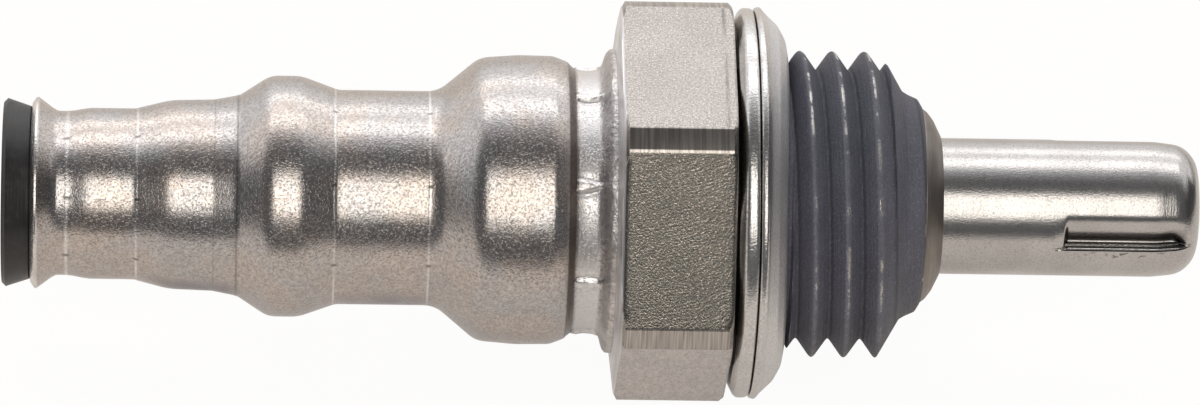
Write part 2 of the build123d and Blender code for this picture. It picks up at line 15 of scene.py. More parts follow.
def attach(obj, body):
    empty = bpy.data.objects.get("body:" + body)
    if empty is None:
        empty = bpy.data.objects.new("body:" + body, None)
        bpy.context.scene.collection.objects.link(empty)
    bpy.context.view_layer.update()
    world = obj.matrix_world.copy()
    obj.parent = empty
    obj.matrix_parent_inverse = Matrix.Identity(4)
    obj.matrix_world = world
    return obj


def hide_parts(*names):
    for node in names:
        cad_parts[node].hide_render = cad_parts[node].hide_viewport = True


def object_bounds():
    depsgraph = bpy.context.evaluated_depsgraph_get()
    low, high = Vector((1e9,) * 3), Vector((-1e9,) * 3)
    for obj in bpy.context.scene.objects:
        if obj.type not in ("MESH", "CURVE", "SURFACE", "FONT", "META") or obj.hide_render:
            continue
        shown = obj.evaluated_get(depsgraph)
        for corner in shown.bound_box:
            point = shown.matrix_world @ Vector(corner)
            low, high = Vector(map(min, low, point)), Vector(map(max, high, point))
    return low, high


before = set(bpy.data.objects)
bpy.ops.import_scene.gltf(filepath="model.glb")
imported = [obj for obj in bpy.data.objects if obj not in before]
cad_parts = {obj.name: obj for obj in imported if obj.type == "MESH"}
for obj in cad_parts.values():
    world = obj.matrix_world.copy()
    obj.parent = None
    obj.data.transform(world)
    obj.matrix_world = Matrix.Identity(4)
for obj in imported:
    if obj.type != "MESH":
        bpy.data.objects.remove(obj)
cad_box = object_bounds()
MM = 0.001


def in_mm(box):
    """A box's two corners in mm, rounded."""
    return [[round(c / MM, 2) for c in corner] for corner in box]


print("CAD box in mm:", in_mm(cad_box))

# %% [markdown]
# ## Camera
# A long lens looks down on the sensor from the front, square to the axis but standing a little
# behind the sensor's middle, so the hexagon's and the gasket's front faces are just hidden. The
# camera is aimed from its place, which needs no lens shift, and rolled by less than a degree.

# %% Camera
VIEW_ELEVATION = math.radians(42.3)
CAMERA_DISTANCE = 342.0     # from the axis, in mm
CAMERA_STATION = -18.9
AIM_STATION = -4.96
AIM_DROP = 0.066            # the aim passes this far under the axis
ROLL = math.radians(0.85)
FRAME_WIDTH = 46.51         # what the picture's width covers at the axis
SENSOR_WIDTH = 36.0         # of the camera's chip


def place_camera():
    """Camera axes: forward is the aim, right is the sensor's axis made square to it and rolled."""
    toward = Vector((0, -math.cos(VIEW_ELEVATION), math.sin(VIEW_ELEVATION)))
    place = Vector((CAMERA_STATION, 0, 0)) + toward * CAMERA_DISTANCE
    aim = Vector((AIM_STATION, 0, 0))
    forward = (aim - place).normalized()
    level = (Vector((1, 0, 0)) - forward * forward.x).normalized()
    upright = level.cross(forward)
    right = level * math.cos(ROLL) + upright * math.sin(ROLL)
    up = right.cross(forward)
    forward = (aim - up * AIM_DROP - place).normalized()
    up = right.cross(forward)
    turn = Matrix((right, up, -forward)).transposed().to_4x4()
    data = bpy.data.cameras.new("camera")
    data.sensor_width = SENSOR_WIDTH
    data.lens = SENSOR_WIDTH * (aim - place).length / FRAME_WIDTH
    data.clip_start, data.clip_end = 0.01, 20.0
    camera = bpy.data.objects.new("camera", data)
    camera.matrix_world = Matrix.Translation(place * MM) @ turn
    bpy.context.scene.collection.objects.link(camera)
    bpy.context.scene.camera = camera
    return data


print(f"Camera: {place_camera().lens:.0f} mm lens")

# %% [markdown]
# ## Shader maths
# Every finish below is a tree of nodes. Writing each node out by hand hides the idea, so a `Wire`
# stands for a socket and takes part in ordinary expressions: `1 - mask * 0.5` adds its own Math
# nodes. All other nodes come from one method, which takes the node's type, its settings and its
# inputs.

# %% Wires and finishes
class Wire:
    """An output socket. Arithmetic between wires and numbers adds Math nodes."""

    def __init__(self, finish, socket):
        self.finish, self.socket = finish, socket

    def maths(self, operation, *values):
        inputs = dict(enumerate((self, *values)))
        return self.finish.node("ShaderNodeMath", {"operation": operation}, inputs)

    def __add__(self, other): return self.maths("ADD", other)
    def __sub__(self, other): return self.maths("SUBTRACT", other)
    def __mul__(self, other): return self.maths("MULTIPLY", other)
    def __truediv__(self, other): return self.maths("DIVIDE", other)
    def __neg__(self): return self.maths("MULTIPLY", -1.0)
    __radd__, __rmul__ = __add__, __mul__
    def __rsub__(self, other): return (-self).maths("ADD", other)

    def capped(self):
        """No more than 1."""
        return self.maths("MINIMUM", 1.0)

    def step(self, start, end):
        """Smooth rise from 0 at the start to 1 at the end, whichever of the two is higher."""
        settings = {"interpolation_type": "SMOOTHSTEP", "clamp": True}
        limits = {"Value": self, "From Min": start, "From Max": end}
        if start > end:
            limits.update({"From Min": end, "From Max": start, "To Min": 1.0, "To Max": 0.0})
        return self.finish.node("ShaderNodeMapRange", settings, limits)

    def plateau(self, start, full, fading, end):
        """Smooth rise from 0 to 1 between the first two values, and fall between the last two."""
        return self.step(start, full) - self.step(fading, end)

    def band(self, centre, half_width):
        """1 at the centre, falling to 0 at half a width to either side."""
        return 1 - (self - centre).maths("ABSOLUTE").step(0.0, half_width)


class Finish:
    """A material's or the world's node tree."""

    def __init__(self, owner):
        owner.use_nodes = True
        self.owner, self.tree = owner, owner.node_tree
        self.tree.nodes.clear()

    def node(self, kind, settings=None, inputs=None, output=0):
        """Adds a node: settings first, then the values and links of its sockets."""
        node = self.tree.nodes.new(kind)
        for name, value in (settings or {}).items():
            setattr(node, name, value)
        for key, value in (inputs or {}).items():
            self.feed(node.inputs[key], value)
        return Wire(self, node.outputs[output]) if node.outputs else node

    def feed(self, socket, value):
        """Links a wire, or sets a value. A colour of three numbers is made opaque."""
        if isinstance(value, Wire):
            self.tree.links.new(value.socket, socket)
        elif isinstance(value, tuple) and len(value) == 3 and socket.type == "RGBA":
            socket.default_value = (*value, 1.0)
        else:
            socket.default_value = value

    def parts(self, vector):
        """The x, y and z of a vector, as three wires."""
        across = self.node("ShaderNodeSeparateXYZ", None, {0: vector})
        return [Wire(self, socket) for socket in across.socket.node.outputs]


trial = Finish(bpy.data.materials.new("trial"))
mask = trial.node("ShaderNodeValue")
shaded = 1 - mask * 0.5
print("1 - mask * 0.5 adds", len(trial.tree.nodes) - 1, "Math nodes")
bpy.data.materials.remove(trial.owner)

# %% [markdown]
# ## Lamps
# A polished bar shows the room it stands in, so the room is made before the metal. A large soft
# box hangs behind the camera and gives each round piece its bright middle. Two longer, narrower
# lamps hang above and behind the sensor and draw the pale bands on its upper side. A picture of a
# room could light it all, but lamps have sizes and places that can be reasoned about.

# %% Lamps
LAMP_DISTANCE = 600.0       # from the sensor, in mm
WARM_WHITE, COOL_WHITE = (1.0, 0.96, 0.89), (1.0, 0.98, 0.97)


def soft_box(name, elevation, height, length, colour, brightness):
    """A lamp facing the sensor. Elevation is 0 in front and 90 straight above. Brightness is the
    lamp's radiance, so its power is that times pi times its area."""
    data = bpy.data.lights.new(name, "AREA")
    data.color = colour
    data.shape, data.size, data.size_y = "RECTANGLE", length * MM, height * MM
    data.energy = brightness * math.pi * length * height * MM * MM
    lamp = bpy.data.objects.new(name, data)
    angle = math.radians(elevation)
    toward = Vector((0, -math.cos(angle), math.sin(angle)))
    right = Vector((1, 0, 0))
    up = toward.cross(right)
    place = Matrix.Translation(toward * LAMP_DISTANCE * MM)
    lamp.matrix_world = place @ Matrix((right, up, toward)).transposed().to_4x4()
    lamp.visible_camera = False
    bpy.context.scene.collection.objects.link(lamp)
    print(f"{name}: {data.energy:.2f} W at {elevation} degrees")


soft_box("front_box", 42.5, height=440, length=400, colour=WARM_WHITE, brightness=2.05)
soft_box("top_lamp", 122.5, height=180, length=640, colour=COOL_WHITE, brightness=1.35)
soft_box("back_lamp", 151, height=120, length=640, colour=COOL_WHITE, brightness=1.4)

# %% [markdown]
# ## Meshes from grids
# Every new piece is a surface over two parameters, so it is a grid of points worked out as one
# array. Its faces could be listed in a loop, but four shifted copies of the grid of point numbers
# give all the quads at once, and joining the last column to the first closes a round shape.

# %% Meshes from grids
def add_piece(name, points, faces):
    """A smooth-shaded mesh object at the origin, from points in mm and lists of their numbers."""
    mesh = bpy.data.meshes.new(name)
    mesh.from_pydata((points * MM).tolist(), [], faces)
    mesh.validate()
    mesh.shade_smooth()
    piece = bpy.data.objects.new(name, mesh)
    bpy.context.scene.collection.objects.link(piece)
    return piece


def grid_faces(rows, columns, around=True, along=False):
    """Quads between neighbours of a grid of points, joined round the columns and the rows."""
    index = np.arange(rows * columns).reshape(rows, columns)
    if around:
        index = np.concatenate([index, index[:, :1]], axis=1)
    if along:
        index = np.concatenate([index, index[:1]], axis=0)
    quads = [index[:-1, :-1], index[1:, :-1], index[1:, 1:], index[:-1, 1:]]
    return np.stack(quads, axis=-1).reshape(-1, 4)


print("3 rows of 4 points, closed round:", len(grid_faces(3, 4)), "quads")

# %% [markdown]
# ## Black cloth and card
# Steel is dark where it mirrors something dark. A black cloth starts on the floor just outside
# the picture, runs away from the sensor and rises over the camera. A black card past the tip does
# the same for surfaces that face along the axis. Both glow faintly instead of being lit, so their
# darkness doesn't depend on the lamps, and they are hidden from all but shiny surfaces. The cloth
# is darkest round the camera and pales towards its edges, as a real sweep does.

# %% Black cloth and card
CLOTH_RADIUS, CLOTH_REACH = 700.0, 5000.0   # from the axis, and each way along it
CLOTH_LOW, CLOTH_HIGH = -10, 112            # elevations of its edges, in degrees
DARK_CENTRE, DARK_UP, DARK_ALONG = 38.0, 70.0, 100.0    # dark area: elevation, half sizes
DARK_GLOW, ADDED_AT_EDGES, CARD_GLOW = 0.13, 0.72, 0.07
CARD_FOOT, CARD_STATION, CARD_HALF = 60.0, 400.0, 215.0
OFF_FLOOR = 0.1
WHITE = (1.0, 1.0, 1.0)
floor_z = cad_box[0].z / MM


def open_sheet(name, x, y, z):
    """A sheet from its grid's coordinates, which broadcast to rows by columns."""
    points = np.stack(np.broadcast_arrays(x, y, z), -1)
    rows, columns = points.shape[:2]
    faces = grid_faces(rows, columns, around=False)
    return add_piece(name, points.reshape(-1, 3), faces.tolist())


def hang(sheet, glow, colour, strength):
    """Makes a sheet glow, and hides it from everything but shiny surfaces."""
    light = glow.node("ShaderNodeEmission", None, {"Color": colour, "Strength": strength})
    glow.node("ShaderNodeOutputMaterial", None, {"Surface": light})
    sheet.data.materials.append(glow.owner)
    sheet.visible_camera = sheet.visible_diffuse = sheet.visible_shadow = False


def black_cloth():
    """A sheet round the axis. Its distance is the cloth's radius, or where the line of sight meets
    the floor if that's nearer. With up and along as angles over the dark area's half sizes, the
    glow rises with (up^4 + along^4)^(1/4), so the dark area is a rectangle with round corners."""
    elevation = np.radians(np.linspace(CLOTH_LOW, CLOTH_HIGH, 41))[:, None]
    to_floor = (-floor_z - OFF_FLOOR) / np.clip(np.sin(-elevation), 1e-3, None)
    distance = np.minimum(CLOTH_RADIUS, to_floor)
    y, z = -distance * np.cos(elevation), distance * np.sin(elevation)
    sheet = open_sheet("black_cloth", np.linspace(-CLOTH_REACH, CLOTH_REACH, 3)[None, :], y, z)
    glow = Finish(bpy.data.materials.new("black_cloth"))
    x, y, z = glow.parts(glow.node("ShaderNodeTexCoord", output="Object"))
    up = (z.maths("ARCTAN2", -y) * math.degrees(1) - DARK_CENTRE) / DARK_UP
    along = x.maths("ARCTAN2", (y * y + z * z).maths("SQRT")) * math.degrees(1) / DARK_ALONG
    up, along = (part.maths("ABSOLUTE").maths("POWER", 4.0) for part in (up, along))
    pale = (up + along).maths("POWER", 0.25).step(0.68, 1.15)
    hang(sheet, glow, (0.96, 0.97, 1.0), DARK_GLOW + pale * ADDED_AT_EDGES)
    return sheet


def end_card():
    """A card that faces along the axis, with its foot laid on the floor towards the tip."""
    x = np.array([[CARD_FOOT], [CARD_STATION], [CARD_STATION]])
    y = np.array([[-CARD_HALF, CARD_HALF]])
    z = np.array([[floor_z + OFF_FLOOR], [floor_z + OFF_FLOOR], [CARD_HALF]])
    sheet = open_sheet("end_card", x, y, z)
    hang(sheet, Finish(bpy.data.materials.new("end_card")), WHITE, CARD_GLOW)
    return sheet


for sheet in (black_cloth(), end_card()):
    print(f"{sheet.name}: {len(sheet.data.polygons)} faces, seen in reflections only")

# %% [markdown]
# ## Floor and room
# The floor is white paper and the room is white. To the camera the paper is nearly its own light,
# so it stays even. To everything else it is mostly lit, and a little warm, which is the tone that
# the sensor's underside takes from it. A shader can tell the two apart by the kind of ray.

# %% Floor and room
FLOOR_REACH = 1500


def ray(finish, kind):
    """1 where the thing is met by this kind of ray, 0 elsewhere."""
    return finish.node("ShaderNodeLightPath", output=f"Is {kind} Ray")


reach = np.array([-FLOOR_REACH, FLOOR_REACH])
floor = open_sheet("floor", reach[:, None], reach[None, :], floor_z)
paper = Finish(bpy.data.materials.new("white_paper"))
lit = paper.node("ShaderNodeBsdfDiffuse", None, {"Color": (0.84, 0.75, 0.66)})
white = paper.node("ShaderNodeEmission", None, {"Color": WHITE, "Strength": 1.03})
share = ray(paper, "Camera") * 0.92 + ray(paper, "Glossy") * 0.30
mixed = paper.node("ShaderNodeMixShader", None, {0: share, 1: lit, 2: white})
paper.node("ShaderNodeOutputMaterial", None, {"Surface": mixed})
floor.data.materials.append(paper.owner)

bpy.context.scene.world = bpy.data.worlds.new("room")
room = Finish(bpy.context.scene.world)
seen = (ray(room, "Camera") + ray(room, "Glossy") + ray(room, "Transmission")).capped()
light = room.node("ShaderNodeBackground", None, {"Color": WHITE, "Strength": 0.45 + seen * 0.55})
room.node("ShaderNodeOutputWorld", None, {"Surface": light})
bpy.context.scene.view_settings.view_transform = "Standard"
print("Floor at", round(floor_z, 2), "mm")

# %% [markdown]
# ## Turned shapes
# Nearly every piece here is round: a profile turned about the axis. A profile is a line through
# corners with its bends rounded, as a press tool rounds sheet. The radius may then change with the
# angle round the axis, which gives crimp marks, a hexagon or a thread. The angle is zero at the
# front and 90 degrees at the top.

# %% Profiles
BEND_POINTS = 7


def rounded(corners, step=0.04):
    """Points along a line through (station, radius, bend) corners. Each bend is a quadratic curve
    (1-t)^2 a + 2t(1-t) b + t^2 c, from a on one side of corner b to c on the other, and its legs
    are the bend radius times the tangent of half the turn, or half the shorter run."""
    places = np.array([corner[:2] for corner in corners], float)
    bends = [corner[2] if len(corner) > 2 else 0.0 for corner in corners]
    t = np.linspace(0, 1, BEND_POINTS)[:, None]
    pieces = [places[:1]]
    for before, corner, after, bend in zip(places, places[1:], places[2:], bends[1:]):
        back, ahead = before - corner, after - corner
        runs = np.linalg.norm(back), np.linalg.norm(ahead)
        turn = math.pi - math.acos(np.clip(back @ ahead / (runs[0] * runs[1]), -1, 1))
        leg = min(bend * math.tan(turn / 2), runs[0] / 2, runs[1] / 2)
        a, c = corner + back * leg / runs[0], corner + ahead * leg / runs[1]
        pieces.append((1 - t) ** 2 * a + 2 * t * (1 - t) * corner + t**2 * c)
    line = np.concatenate([*pieces, places[-1:]])
    gaps = np.linalg.norm(np.diff(line, axis=0), axis=1)
    line = line[np.concatenate([[True], gaps > 1e-6])]
    along = np.concatenate([[0], np.cumsum(np.linalg.norm(np.diff(line, axis=0), axis=1))])
    even = np.arange(0, along[-1], step)
    spots = np.unique(np.round(np.concatenate([along, even]), 5))
    spots = spots[np.concatenate([[True], np.diff(spots) > step / 4])]
    return np.stack([np.interp(spots, along, line[:, k]) for k in (0, 1)], -1)


print("A square corner with a bend:", len(rounded([(0, 1), (1, 1, 0.5), (1, 0)])), "points")


# %% Turning
def turned(stations, radii, angles):
    """Points of a surface of revolution: x is the station, y is minus the radius times the cosine
    of the angle, and z is the radius times its sine. All arrays broadcast to rows by columns."""
    x, r, a = np.broadcast_arrays(stations, radii, np.radians(angles))
    return np.stack([x, -r * np.cos(a), r * np.sin(a)], -1)


def wheel(count):
    """Angles of evenly spaced columns, as a row."""
    return np.arange(count)[None, :] * 360.0 / count


def ripple(angles, count, phase=0):
    """Sine wave with so many waves round the axis."""
    return np.sin(np.radians(count * angles + phase))


def near(values, centre, half_width):
    """Smooth bump: the square of 1 - (distance / half width) squared, and 0 beyond."""
    return np.clip(1 - ((values - centre) / half_width) ** 2, 0, 1) ** 2


def rise(values, start, end):
    """Smooth step 3t^2 - 2t^3 from 0 at the start to 1 at the end."""
    t = np.clip((values - start) / (end - start), 0, 1)
    return t * t * (3 - 2 * t)


print("Top of a circle of radius 1:", turned(0, 1, 90).round(6).tolist())

# %% [markdown]
# ## Closed pieces
# A printed or cut part needs a closed skin whose faces look outwards. A profile that runs out
# along the outside and back along the inside closes by joining its last row to its first. The
# sign of the enclosed volume then tells whether the faces came out the right way round. Each
# finished piece stands for a CAD node, so that the two models can be swapped.

# %% Closed pieces
SHARP_ANGLE = math.radians(38)      # steeper edges keep a hard line in smooth shading


def add_shell(name, points, faces):
    """A closed piece, turned outwards if its signed volume, the sum of a . (b x c) / 6 over the
    triangles, is negative. A quad counts as its two triangles."""
    fans = np.concatenate([faces[:, [0, 1, 2]], faces[:, [0, 2, 3]]])
    a, b, c = (points[fans[:, k]] for k in range(3))
    volume = np.einsum("ij,ij->i", a, np.cross(b, c)).sum() / 6
    if volume < 0:
        faces = faces[:, ::-1]
    piece = add_piece(name, points, faces.tolist())
    piece.data.set_sharp_from_angle(angle=SHARP_ANGLE)
    print(f"{name}: {len(fans)} triangles, {abs(volume):.1f} cubic mm")
    return piece


def close_ring(name, points):
    """A piece from a closed profile turned all round: the grid joins up in both directions."""
    rows, columns = points.shape[:2]
    return add_shell(name, points.reshape(-1, 3), grid_faces(rows, columns, along=True))


def carry(piece, node, finish):
    """The piece rides on the sensor, stands for a CAD node and gets its finish."""
    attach(piece, "root")
    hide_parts(node)
    piece.data.materials.append(finish)
    print(f"{piece.name} stands for {node}, in {finish.name}")


print(f"Hard lines from {math.degrees(SHARP_ANGLE):.0f} degrees")

# %% [markdown]
# ## Rear sleeve
# A drawn steel sleeve covers the contacts and holds the rubber grommet. Jaws have pressed it on in
# several places, eight at a time, and left flats, squeezed-up creases and fine edge lines. It
# could be a plain lathe shape with a bump map, but the creases break its outline, so the radius
# itself changes where the jaws met.

# %% Sleeve
JOINT_FIRST, JOINT_PITCH = 3.5, 45.0    # degrees between the crimping jaws' joints
CRIMP_START, CRIMP_END = -5.95, -4.95
CREASE, HOLLOW, JAW_FLAT, LEAN = 0.12, 0.04, 0.03, 0.1      # how far the metal moved, in mm
CREASE_WIDTH = 2.4                      # degrees to each side of a joint, before it tapers

sleeve_outside = rounded([
    (-4.505, 5.9), (-4.68, 5.87, 0.1), (-4.9, 5.36, 0.25),                      # flange
    (-5.1, 5.07, 0.4), (-5.65, 5.03, 0.3), (-6.1, 5.13, 0.1),                   # front crimp
    (-6.32, 5.37, 0.1), (-6.88, 5.58, 0.7), (-8.2, 5.6, 3.0), (-9.72, 5.48, 1.1),
    (-11.32, 4.147, 1.2), (-15.16, 4.147, 0.7),                                 # neck
    (-16.6, 4.66, 1.6), (-17.78, 4.66, 1.1),                                    # bulge
    (-18.97, 3.885, 0.3), (-19.95, 3.70, 0.2), (-21.62, 3.65, 3.0),
    (-22.87, 3.335, 0.2), (-22.95, 3.305, 0.1), (-24.75, 3.305, 0.6),           # grip
    (-25.42, 3.18, 0.2), (-25.56, 3.235, 0.1), (-25.7, 3.15, 0.1),
    (-26.04, 3.19, 0.25), (-26.73, 3.71, 0.04), (-26.8, 3.69, 0.04), (-26.95, 3.46),    # flare
], step=0.14)
sleeve_inside = rounded([
    (-26.96, 3.4), (-25.78, 2.82, 0.3), (-25.2, 2.82, 0.1), (-25.0, 2.92, 0.1),
    (-22.75, 2.92, 0.5), (-21.8, 3.25, 0.5), (-18.85, 3.45, 0.3), (-17.7, 4.26, 0.4),
    (-16.7, 4.26, 0.8), (-15.3, 3.76, 0.7), (-11.2, 3.76, 0.7), (-9.4, 5.12, 0.7),
    (-6.75, 5.12, 0.5), (-5.68, 4.62, 0.4), (-4.505, 4.62),
], step=0.6)


def from_joint(angles):
    """Angle to the nearest joint: a triangle wave of the angle."""
    return np.abs((angles - JOINT_FIRST + JOINT_PITCH / 2) % JOINT_PITCH - JOINT_PITCH / 2)


def sleeve_points(columns=384):
    """The outside and then the inside, turned about the axis. On the outside the radius rises by
    a crease at each joint of the crimp, with a hollow along its foot, and each jaw's middle is
    pressed flatter. The flange leans back at the joints and waves by a few hundredths."""
    angles = wheel(columns)
    profile = np.concatenate([sleeve_outside, sleeve_inside])
    outside = (np.arange(len(profile)) < len(sleeve_outside))[:, None]
    x, r = profile[:, :1], profile[:, 1:]
    joint = from_joint(angles)
    in_crimp = rise(x, CRIMP_START - 0.2, CRIMP_START + 0.1)
    in_crimp = in_crimp * rise(-x, -CRIMP_END, -CRIMP_END + 0.15)
    taper = 0.2 + 0.6 * np.abs(ripple(angles, 1.7))
    width = CREASE_WIDTH * (1 - taper * rise(x, CRIMP_START + 0.1, CRIMP_END))
    crease = CREASE * rise(width - joint, -0.6, 0.8) - HOLLOW * near(joint, width + 1.6, 1.8)
    flat = -JAW_FLAT * near(joint, JOINT_PITCH / 2, 22)
    lean = -LEAN * near(joint, 0, 9)
    wave = 0.03 * ripple(angles, 8, 20) + 0.02 * ripple(angles, 19) + 0.012 * ripple(angles, 43, 9)
    on_flange = rise(x, -5.05, -4.75) * rise(-x, 4.5, 4.6)
    shift = on_flange * (lean + wave)
    return turned(x + outside * shift, r + outside * in_crimp * (crease + flat), angles)


sleeve = close_ring("sleeve", sleeve_points())

# %% [markdown]
# ## Gasket
# The gasket is one strip of sheet steel folded into two rings, one behind the other, so that it
# can be squeezed. The two crowns and the dark slit between them are what shows. Two plain rings
# side by side would leave an even gap, so the profile is drawn with the slit going in, and the
# sheet is given a slight wave as folded sheet has.

# %% Gasket
DENT_ANGLE, DENT_REACH = 42, 80     # degrees round the axis where the front slope stands back
DENT_DEPTH = 0.18

gasket_line = rounded([
    (0.36, 5.8), (0.08, 6.3, 0.3), (0.1, 7.05, 0.3), (0.36, 7.57, 0.3), (0.86, 7.53, 0.18),
    (0.87, 6.9, 0.02), (0.882, 6.9, 0.02), (0.89, 7.56, 0.12), (1.12, 7.605, 0.12),
    (1.3, 7.38, 0.3), (1.78, 6.92, 0.6), (2.06, 6.4, 0.6), (2.17, 5.8, 0.1), (1.3, 5.78, 0.1),
    (0.7, 5.78), (0.36, 5.8),
], step=0.045)[:-1]


def gasket_points(columns=320):
    """The folded profile turned about the axis. The two crowns sway along the axis, twice and
    five times round, by a few hundredths of a millimetre, and the front slope is pushed back by a
    smooth bump of the angle."""
    angles = wheel(columns)
    x, r = gasket_line[:, :1], gasket_line[:, 1:]
    crowns = rise(r, 6.2, 7.2) * rise(x, 0.1, 0.7) * (1 - rise(x, 1.5, 2.1))
    wave = 0.018 * ripple(angles, 2, 50) + 0.008 * ripple(angles, 5)
    from_dent = (angles - DENT_ANGLE + 180) % 360 - 180
    dent = DENT_DEPTH * near(from_dent, 0, DENT_REACH) * rise(x, 1.1, 1.8)
    return turned(x + wave * crowns - dent, r + 0.008 * crowns * ripple(angles, 3), angles)


gasket = close_ring("gasket", gasket_points())

# %% [markdown]
# ## Hexagon
# The shell is one turned piece, but its finishes differ, so it is made as three: the hexagon, the
# coated thread and the bare nose. A hexagon could be a cylinder cut by six planes. Here it is a
# circle whose radius is cut down to the distance of a flat, which is the apothem over the cosine
# of the angle from the flat's middle. The corners stay at the turned radius, which leaves the
# narrow round strips between the flats.

# %% Hexagon
APOTHEM, CORNER_R = 7.0, 7.82
HEX_BACK = -4.3             # where the flats end and the turned back begins
hexagon_line = rounded([
    (-4.5, 4.62), (-4.5, 5.98, 0.05), (-4.34, 7.2, 0.3), (HEX_BACK, 7.55, 0.05),
    (-4.15, 7.86, 0.04), (-0.13, 7.86, 0.04), (-0.005, 7.6, 0.04), (-0.005, 4.7),
], step=0.25)


def hexagon_points():
    """Radius is the smallest of the turned profile, the corner circle and the flats' distance.
    Columns are set close together on both sides of each edge, so the edges are crisp but round."""
    half_face = math.degrees(math.acos(APOTHEM / CORNER_R))
    strip = 60 - 2 * half_face
    edge = np.array([-0.6, -0.22, -0.11, 0, 0.11, 0.22, 0.6])
    across = np.concatenate([
        np.linspace(-half_face + 1.0, half_face - 1.0, 25),
        half_face + edge,
        np.linspace(half_face + 1.0, half_face + strip - 1.0, 5),
        half_face + strip + edge,
    ])
    angles = (np.arange(6)[:, None] * 60 + 30 + across).reshape(1, -1)
    from_flat = np.abs(angles % 60 - 30)
    flat_r = APOTHEM / np.cos(np.radians(from_flat))
    ridge = np.minimum(flat_r, CORNER_R) - 0.009 * near(flat_r, CORNER_R, 0.016)
    x, r = hexagon_line[:, :1], hexagon_line[:, 1:]
    rims = 0.06 * near(x, HEX_BACK, 0.1) + 0.05 * near(x, 0, 0.07)
    return turned(x, np.minimum(r, ridge - np.clip(HEX_BACK - x, 0, 1) - rims), angles)


hexagon = close_ring("hexagon", hexagon_points())

# %% [markdown]
# ## Thread and nose
# A thread is the same turned profile, except that its ridges creep along the axis as the angle
# goes round: a full turn moves them by the pitch. So the distance to the nearest crest is worked
# out from the station and the angle, and the radius falls from the crest at the flank's slope. The
# cone at the end cuts the ridges off, which leaves the part-ridges that start a real thread.

# %% Threaded end
PITCH, CREST_R, ROOT_R = 1.25, 5.95, 5.2
FLANKS_MEET, FLANK_SLOPE = 6.03, 1.4    # the flanks' radius at a crest, and their fall per mm
CREST_STATION = 3.151       # of the crest at the front, angle zero
THREAD_START, RIDGES_START, COATING_END = -0.3, 2.0, 7.44
BORE_R = 3.45

outline = np.array([
    (THREAD_START, 5.27), (2.2, 5.27), (2.52, 5.95), (5.8, 5.95), (6.67, 4.44), (6.9, 4.3),
    (7.28, 4.13), (COATING_END, 3.86),
])


def soft_lower(a, b, width):
    """The lower of a and b, blended over a width w: min(a, b) - max(w - |a - b|, 0)^2 / 4w."""
    return np.minimum(a, b) - np.clip(width - np.abs(a - b), 0, None) ** 2 / (4 * width)


def crest_distance(stations, angles):
    """Along the axis to the nearest crest. A right-hand thread's crest moves back by the pitch
    for each turn of the angle, which runs from the front up over the top."""
    place = stations - CREST_STATION + PITCH * angles / 360
    return np.abs((place + PITCH / 2) % PITCH - PITCH / 2)


def thread_points(columns=260):
    """The flanks' radius less the slope times the distance to the crest, kept between root and
    crest with soft corners, then kept inside the turned outline of run-in, cone and neck."""
    angles = wheel(columns)
    ridges = np.arange(RIDGES_START, 6.4, 0.045)
    x = np.concatenate([[THREAD_START, 1.5], ridges, np.linspace(6.42, COATING_END, 24)])[:, None]
    ridge = FLANKS_MEET - FLANK_SLOPE * crest_distance(x, angles)
    ridge = -soft_lower(-soft_lower(ridge, CREST_R, 0.13), -ROOT_R, 0.08)
    limit = np.interp(x, *outline.T)
    r = np.where(x < RIDGES_START, ROOT_R, soft_lower(ridge, limit, 0.05))
    inside = turned(np.array([[COATING_END], [THREAD_START]]), BORE_R, angles)
    return np.concatenate([turned(x, r, angles), inside])


thread = close_ring("threaded_end", thread_points())
nose_line = rounded([
    (7.3, 3.5), (7.42, 3.82, 0.1), (7.66, 3.64, 0.5), (7.9, 3.33, 0.6), (8.1, 2.92, 0.3),
    (8.2, 2.72, 0.1), (8.19, 2.66), (7.3, 2.66),
], step=0.05)
nose = close_ring("nose_ring", turned(nose_line[:, :1], nose_line[:, 1:], wheel(180)))

# %% [markdown]
# ## Protection tube
# The tip is a closed cup with three louvres: each is a slit along the tube, with the sheet on one
# side of it pressed in. Cutting the slits out of a solid with a Boolean would leave ragged
# shading, so the sheet is drawn as one grid whose columns are doubled at the slits. Where the
# press depth is nil the doubled columns meet and are merged, and a Solidify modifier gives the
# sheet its wall, slit edges included.

# %% Tube
SLIT_ANGLE, LOUVRE_SPAN = 5.0, 31.0     # degrees: the first slit, and from a slit to its hinge
LOUVRES, LOUVRE_TURN = 3, 120
PRESS_DEPTH, BURR, SLIT_EDGE, TUBE_WALL = 0.56, 0.07, 0.07, 0.3
LOUVRE_REAR, LOUVRE_FRONT = 12.72, 17.95
RIM_ANGLE = 119             # from here to the next slit, the angle above counts 0 to -1
WELD = 0.002

tube_line = rounded([
    (6.7, 2.635), (16.5, 2.635, 3.0), (17.62, 2.5, 1.2), (18.19, 1.85, 1.1), (18.245, 0),
], step=0.065)
shank = tube_line[:, 0] < LOUVRE_REAR + 0.6
kept = ~shank | (np.arange(len(tube_line)) % 6 == 0)
steep = np.abs(tube_line[:, 0] - LOUVRE_REAR - 0.13) <= 0.5
tube_line = tube_line[kept & ~steep]
added = np.arange(LOUVRE_REAR - 0.35, LOUVRE_REAR + 0.62, 0.024)
added = np.stack([added, np.interp(added, *tube_line.T)], -1)
tube_line = np.concatenate([tube_line, added])
tube_line = tube_line[np.lexsort((-tube_line[:, 1], tube_line[:, 0]))]
print("Rows of the tube:", len(tube_line), "of which at the louvres' rear ends:", len(added))


